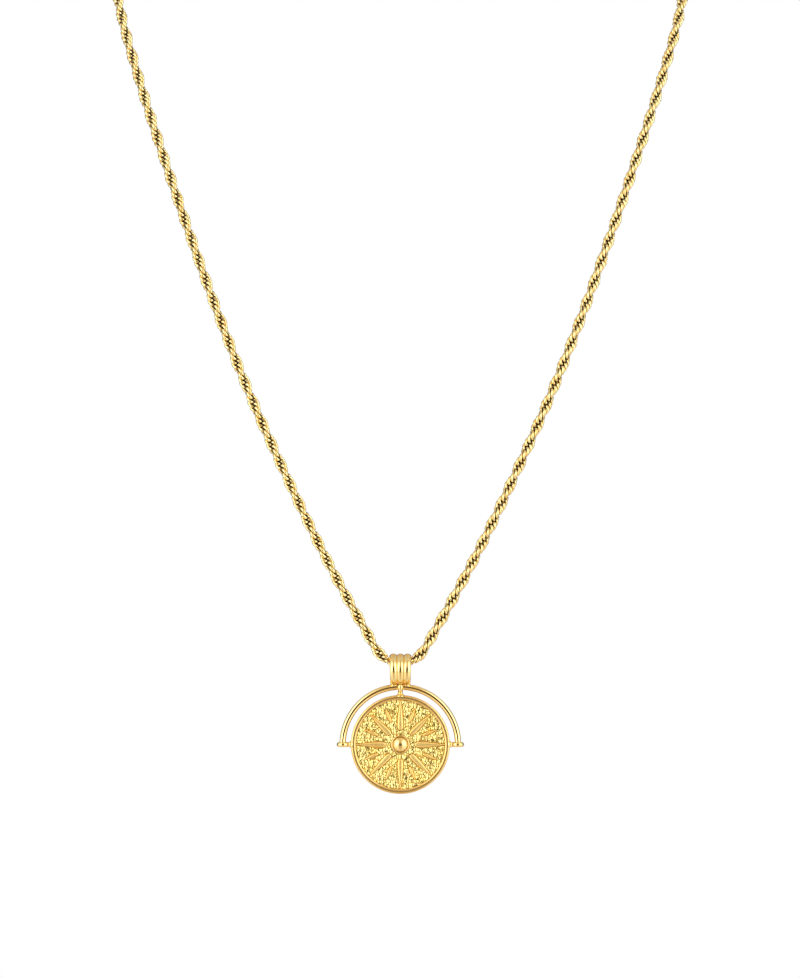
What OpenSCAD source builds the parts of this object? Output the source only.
// Sun pendant necklace.
// A rope chain runs through a three-ribbed bail. A half hoop of wire is soldered under the bail,
// and a cast sun medallion is threaded on the hoop by three eyes, at its sides and its top.
// Millimetres, +Z up. The origin is the point of the clasp that touches the nape of the neck,
// and the pendant hangs at the front, towards -Y, with the sun facing -Y.

/* [Medallion] */
// Diameter over the polished rim
coin_d = 19.2; // [18.4:0.1:19.8]
// Width of the rim seen from the front
rim_w = 0.95; // [0.7:0.05:1.2]
// Depth of the rim from front to back
rim_depth = 1.4; // [1.2:0.1:1.8]
// How far the sunken ground lies behind the rim's front
ground_drop = 0.34; // [0.2:0.02:0.5]
// Thickness of the ground
ground_t = 0.78; // [0.5:0.02:0.9]

/* [Sun] */
// Height of the long rays above the ground
long_ray_h = 0.36; // [0.26:0.02:0.5]
// Height of the short rays above the ground
short_ray_h = 0.3; // [0.2:0.02:0.4]
// Height of a ray's edge above the ground
ray_edge = 0.1; // [0.04:0.02:0.14]
// Diameter of the polished dome in the middle
dome_d = 3; // [2.2:0.1:3.2]
// Height of the dome above the ground
dome_h = 0.85; // [0.5:0.05:1.1]
// Diameter of the fine ring round the dome, over its wire
dome_ring_d = 3.6; // [3.4:0.1:4]

/* [Hoop] */
// Diameter of the hoop along the middle of its wire
hoop_d = 22.4; // [22:0.1:23]
// Thickness of the hoop's wire
hoop_wire_d = 1.2; // [0.9:0.05:1.2]

/* [Eyes] */
// Hole of each eye, which the hoop's wire passes through
eye_hole_d = 1.5; // [1.4:0.05:1.7]
// Thickness of the metal round the hole
eye_wall = 0.46; // [0.3:0.02:0.6]
// Length of each eye along the wire
eye_len = 0.95; // [0.7:0.05:1.2]
// Room between the wire and the side of the hole that it bears on
eye_gap = 0.1; // [0.06:0.02:0.16]

/* [Bail] */
// Outer diameter of the bail's ring
bail_d = 6.2; // [6.2:0.1:6.6]
// Thickness of the bail's wall at the crown of a rib
bail_wall = 0.45; // [0.35:0.05:0.5]
// Distance between the middles of two ribs
rib_pitch = 1.3; // [1.1:0.05:1.35]
// Radius of a rib's rounded back
rib_round = 0.9; // [0.8:0.05:1.1]
// Lean of the outer ribs, which makes the bail narrower at the bottom
rib_lean = 2; // [0:0.5:3]

/* [Chain] */
// Thickness of the rope chain over its lobes
chain_d = 2; // [1.6:0.1:2]

/* [Clasp] */
// Diameter of the barrel clasp
clasp_d = 3; // [2.8:0.1:3.4]
// Length of the barrel clasp
clasp_len = 13; // [12:0.5:16]
// Room between the chain and the cup that holds its end
cup_gap = 0.15; // [0.1:0.05:0.2]

/* [Hidden] */
$fn = 72;

// The axis of the bail's swing, along X through the chain where it lies in the bail
SWING = [0, -86.5, -162.5];

// Half of the chain's route, from the bail's middle to the clasp, measured from the swing axis.
// Columns: x, y, z, share of the chain's thickness, rings up to the next row.
// The chain is thinnest in the bail, where the rope's two strands lie behind each other.
HALF_ROUTE = [
    [0, 0, -0.4, 0.62, 1],
    [1, 0, -0.34, 0.62, 1],
    [2, 0, -0.13, 0.62, 1],
    [3, 0, 0.56, 0.8, 1],
    [4, 0, 1.45, 1, 1],
    [5, 0.2, 2.82, 1, 1],
    [6, 0.5, 4.6, 1, 1],
    [10, 1, 11.7, 1, 1],
    [14.3, 2, 19.7, 1, 1],
    [18.2, 3, 27.5, 1, 1],
    [22, 4.5, 35.5, 1, 2],
    [29, 8, 51, 1, 2],
    [35.2, 11.5, 66.5, 1, 2],
    [41, 16, 82.5, 1, 2],
    [46.5, 22, 98.5, 1, 2],
    [51.7, 29.5, 114.5, 1, 3],
    [55.8, 39, 129, 1, 2],
    [57.6, 49.5, 141.5, 1, 2],
    [56.4, 60, 150.5, 1, 2],
    [52, 69.5, 156.5, 1, 2],
    [44.5, 77.5, 160.5, 1, 2],
    [35, 83.5, 162.5, 1, 2],
    [24, 87, 163, 1, 2],
    [12, 88, 162.7, 1, 2],
    [5, 88, 162.5, 1, 1],
];
CHAIN_SIDES = 8;
// The loop lies near a plane that leans back, and this is its normal: it is never along the chain
LOOP_NORMAL = [0, -0.88, 0.475];

// The rays of the sun, a row for each kind.
// Columns: how many, angle of the first, where it starts, is widest and ends from the middle,
// width, height
RAYS = [
    [4, 0, 2.9, 3.8, 8.5, 1.1, long_ray_h],
    [4, 45, 3, 3.9, 8.1, 1, long_ray_h],
    [8, 22.5, 4.6, 5.5, 7.4, 0.85, short_ray_h],
];
// How deep the raised pieces are rooted in the ground
ROOT = 0.15;

// Places along the pendant, down from the swing axis
bail_crown = 1.5;
bail_r = bail_d / 2;
bail_bore_r = bail_r - bail_wall;
hoop_r = hoop_d / 2;
sun_drop = 16.15;
coin_r = coin_d / 2;
ground_front = rim_depth / 2 - ground_drop;
eye_hole_r = eye_hole_d / 2;
eye_r = eye_hole_r + eye_wall;
// The wire bears on the outer side of each hole, so the eyes sit a little inside the hoop
eye_place = hoop_r - (eye_hole_r - hoop_wire_d / 2 - eye_gap);
// An eye's neck is a little thinner than the eye, and flares into the rim like a fillet
neck_r = eye_len / 2 - 0.02;
neck_flare = 0.25;
flare_len = 0.45;
flare_root = 0.12;

// Puts what is drawn flat, facing +Z, upright at the sun's middle and facing -Y
module at_sun() {
    translate(SWING - [0, 0, sun_drop]) rotate([90, 0, 0]) children();
}

// A ring round the X axis with a rounded back and a straight bore, for the eyes and the bail's ribs
module half_round_ring(outer_r, bore_r, round_r) {
    rotate([0, 90, 0]) rotate_extrude() intersection() {
        translate([outer_r - round_r, 0]) circle(round_r);
        translate([bore_r, -round_r]) square(2 * round_r);
    }
}

// The rim's section: a bar with fully round ends, which stand for its front and back
module rim_section() {
    straight = rim_depth - rim_w;
    square([rim_w, straight], center = true);
    for (face = [-1, 1]) translate([0, face * straight / 2]) circle(d = rim_w);
}

// One ray: a long kite with upright edges and a ridge that falls from its widest place to both points
module ray(start, widest, end, wide, high) {
    rim = [[start, 0], [widest, -wide / 2], [end, 0], [widest, wide / 2]];
    points = concat(
        [for (p = rim) [p[0], p[1], -ROOT]],
        [for (p = rim) [p[0], p[1], ray_edge]],
        [[widest, 0, high]]
    );
    sides = [for (i = [0:3]) [i, i + 4, (i + 1) % 4 + 4, (i + 1) % 4]];
    facets = [for (i = [0:3]) [i + 4, 8, (i + 1) % 4 + 4]];
    polyhedron(points, concat([[0, 1, 2, 3]], sides, facets));
}

module sun_rays() {
    for (kind = RAYS, i = [0:kind[0] - 1])
        rotate(kind[1] + i * 360 / kind[0])
            ray(kind[2], kind[3], kind[4], kind[5], kind[6]);
}

// The polished dome and the fine ring round its foot, on a ground at z = 0
module dome() {
    ball_r = (pow(dome_d / 2, 2) + pow(dome_h, 2)) / (2 * dome_h);
    intersection() {
        translate([0, 0, dome_h - ball_r]) sphere(ball_r);
        translate([0, 0, -ROOT]) cylinder(d = 2 * dome_d, h = 2 * dome_h);
    }
    ring_wire_d = (dome_ring_d - dome_d) / 2;
    rotate_extrude() translate([(dome_ring_d - ring_wire_d) / 2, 0]) circle(d = ring_wire_d);
}

// One eye and the short flared neck that joins it to the rim, pointing along +X
module eye() {
    translate([eye_place, 0, 0]) rotate(90) half_round_ring(eye_r, eye_hole_r, eye_len / 2);
    neck_start = coin_r - rim_w / 2;
    neck_end = eye_place - eye_hole_r - eye_wall / 2;
    translate([neck_start, 0, 0]) rotate([0, 90, 0]) cylinder(r = neck_r, h = neck_end - neck_start);
    translate([coin_r - flare_root, 0, 0]) rotate([0, 90, 0])
        cylinder(r1 = neck_r + neck_flare, r2 = neck_r, h = flare_len);
}

module medallion() {
    color("gold") at_sun() {
        difference() {
            union() {
                rotate_extrude() translate([coin_r - rim_w / 2, 0]) rim_section();
                translate([0, 0, ground_front - ground_t]) cylinder(r = coin_r - rim_w / 2, h = ground_t);
                for (a = [0, 90, 180]) rotate(a) eye();
            }
            // the holes stay clear of the necks
            for (a = [0, 90, 180]) rotate(a) translate([eye_place, 0, 0]) rotate([90, 0, 0])
                cylinder(r = eye_hole_r, h = 2 * eye_len, center = true);
        }
        translate([0, 0, ground_front]) {
            sun_rays();
            dome();
        }
    }
}

module bail() {
    notch_r = eye_r + eye_gap;
    difference() {
        translate([0, 0, bail_crown - bail_r])
            for (i = [-1:1]) translate([i * rib_pitch, 0, 0]) rotate([0, i * rib_lean, 0])
                half_round_ring(bail_r, bail_bore_r, rib_round);
        // room for the medallion's top eye
        translate([0, 0, eye_place - sun_drop]) rotate([0, 90, 0])
            cylinder(r = notch_r, h = eye_len + 2 * eye_gap, center = true);
    }
}

// The half hoop of wire, with short straight ends that finish level with the side eyes
module hoop() {
    rotate_extrude(angle = 180) translate([hoop_r, 0]) circle(d = hoop_wire_d);
    for (side = [-1, 1]) translate([side * hoop_r, 0, 0]) rotate([90, 0, 0])
        cylinder(d = hoop_wire_d, h = eye_len / 2);
}

module bail_and_hoop() {
    color("goldenrod") {
        translate(SWING) bail();
        at_sun() hoop();
    }
}

// The whole route, left half first, with the bail's middle row once
half_count = len(HALF_ROUTE);
ROUTE = concat(
    [for (i = [half_count - 1:-1:1]) let (r = HALF_ROUTE[i], inner = HALF_ROUTE[i - 1])
        [-r[0], r[1], r[2], r[3], inner[4]]],
    HALF_ROUTE
);
last_row = len(ROUTE) - 1;

function place(i) = SWING + [ROUTE[i][0], ROUTE[i][1], ROUTE[i][2]];
function gap_after(i) = norm(place(i + 1) - place(i));

// Direction of the route at a row: the two neighbouring chords, the shorter one counting more
function heading(i) =
    i == 0 ? (place(1) - place(0)) / gap_after(0)
    : i == last_row ? (place(i) - place(i - 1)) / gap_after(i - 1)
    : let (a = gap_after(i - 1), b = gap_after(i))
        ((place(i) - place(i - 1)) / a * b + (place(i + 1) - place(i)) / b * a) / (a + b);

// A point on the curve from row i to the next, for t from 0 to 1
function on_route(i, t) =
    let (g = gap_after(i), t2 = t * t, t3 = t2 * t)
        (2 * t3 - 3 * t2 + 1) * place(i) + (t3 - 2 * t2 + t) * g * heading(i)
        + (3 * t2 - 2 * t3) * place(i + 1) + (t3 - t2) * g * heading(i + 1);

function share_on_route(i, t) = ROUTE[i][3] * (1 - t) + ROUTE[i + 1][3] * t;

SPOTS = concat(
    [for (i = [0:last_row - 1], k = [0:ROUTE[i][4] - 1]) let (t = k / ROUTE[i][4])
        [on_route(i, t), share_on_route(i, t)]],
    [[place(last_row), ROUTE[last_row][3]]]
);
last_spot = len(SPOTS) - 1;

// The ring of points round one spot of the tube
function tube_ring(i) =
    let (
        along = SPOTS[min(i + 1, last_spot)][0] - SPOTS[max(i - 1, 0)][0],
        side = cross(along, LOOP_NORMAL),
        u = side / norm(side),
        v = cross(u, along) / norm(along),
        r = chain_d / 2 * SPOTS[i][1]
    )
    [for (k = [0:CHAIN_SIDES - 1]) let (a = (k + 0.5) * 360 / CHAIN_SIDES)
        SPOTS[i][0] + r * (cos(a) * u + sin(a) * v)];

module chain() {
    points = [for (i = [0:last_spot]) each tube_ring(i)];
    walls = [for (i = [0:last_spot - 1], k = [0:CHAIN_SIDES - 1])
        let (a = i * CHAIN_SIDES + k, b = i * CHAIN_SIDES + (k + 1) % CHAIN_SIDES)
            each [[a, b, b + CHAIN_SIDES], [a, b + CHAIN_SIDES, a + CHAIN_SIDES]]];
    start_cap = [for (k = [CHAIN_SIDES - 1:-1:0]) k];
    end_cap = [for (k = [0:CHAIN_SIDES - 1]) last_spot * CHAIN_SIDES + k];
    color("khaki") polyhedron(points, concat(walls, [start_cap, end_cap]));
}

// A plain barrel with a cup at each end for the chain
module clasp() {
    bevel = 0.35;
    half = clasp_len / 2;
    r = clasp_d / 2;
    cup_r = chain_d / 2 + cup_gap;
    cup_depth = half - HALF_ROUTE[half_count - 1][0] + cup_gap;
    color("darkgoldenrod") translate([0, r, 0]) rotate([0, 90, 0]) difference() {
        rotate_extrude() polygon([
            [0, -half], [r - bevel, -half], [r, bevel - half],
            [r, half - bevel], [r - bevel, half], [0, half]
        ]);
        for (side = [0, 180]) rotate([side, 0, 0]) translate([0, 0, half - cup_depth])
            cylinder(r = cup_r, h = cup_depth + 1);
    }
}

medallion();
bail_and_hoop();
chain();
clasp();
